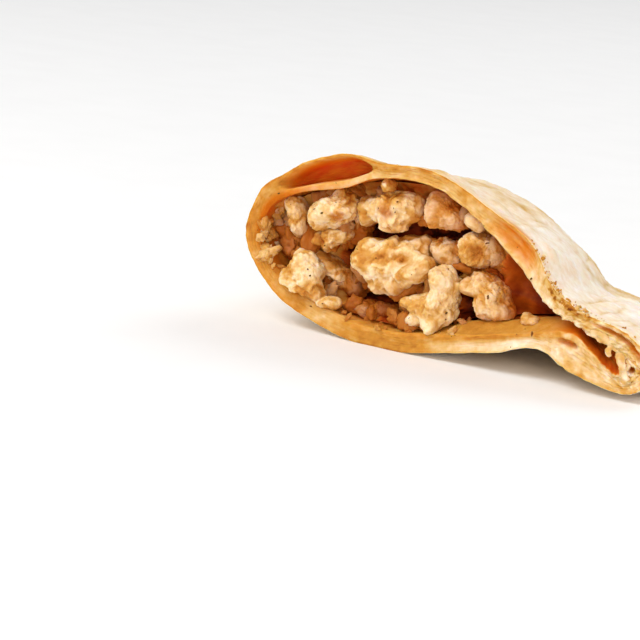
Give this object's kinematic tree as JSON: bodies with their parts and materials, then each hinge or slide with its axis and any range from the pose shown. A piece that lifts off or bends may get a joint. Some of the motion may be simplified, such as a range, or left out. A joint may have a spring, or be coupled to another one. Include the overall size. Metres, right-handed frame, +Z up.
{
  "type": "half empanada",
  "caption": "Half of a baked empanada, cut across: a thin folded crust with a sealed edge, filled with torn chicken.",
  "frame": {"origin": "bottom centre of the bounding box, on the surface the half lies on", "axes": "+Z up; the cut faces -Y and the tip points +Y; the fold is at -X and the sealed edge at +X"},
  "size_m": [0.094, 0.0892, 0.0371],
  "materials": {
    "crust": "baked flour dough, dry and pale with toasted patches",
    "filling": "moist packed chicken in a reddish-brown sauce",
    "chicken": "moist torn chicken breast, cream with golden creases"
  },
  "bodies": {
    "root": {"crust": "crust", "filling": "filling", "chicken_lower_centre": "chicken", "chicken_centre": "chicken", "chicken_upper_left": "chicken", "chicken_lower_left": "chicken", "chicken_upper_middle": "chicken", "chicken_upper_right": "chicken", "chicken_lower_right": "chicken", "chicken_right": "chicken", "chicken_middle_left": "chicken", "chicken_far_left": "chicken", "chicken_strip": "chicken", "chicken_back_left": "chicken", "chicken_bit_top": "chicken", "chicken_bit_right": "chicken", "chicken_bit_floor": "chicken", "chicken_bit_floor_right": "chicken"}
  },
  "joints": []
}
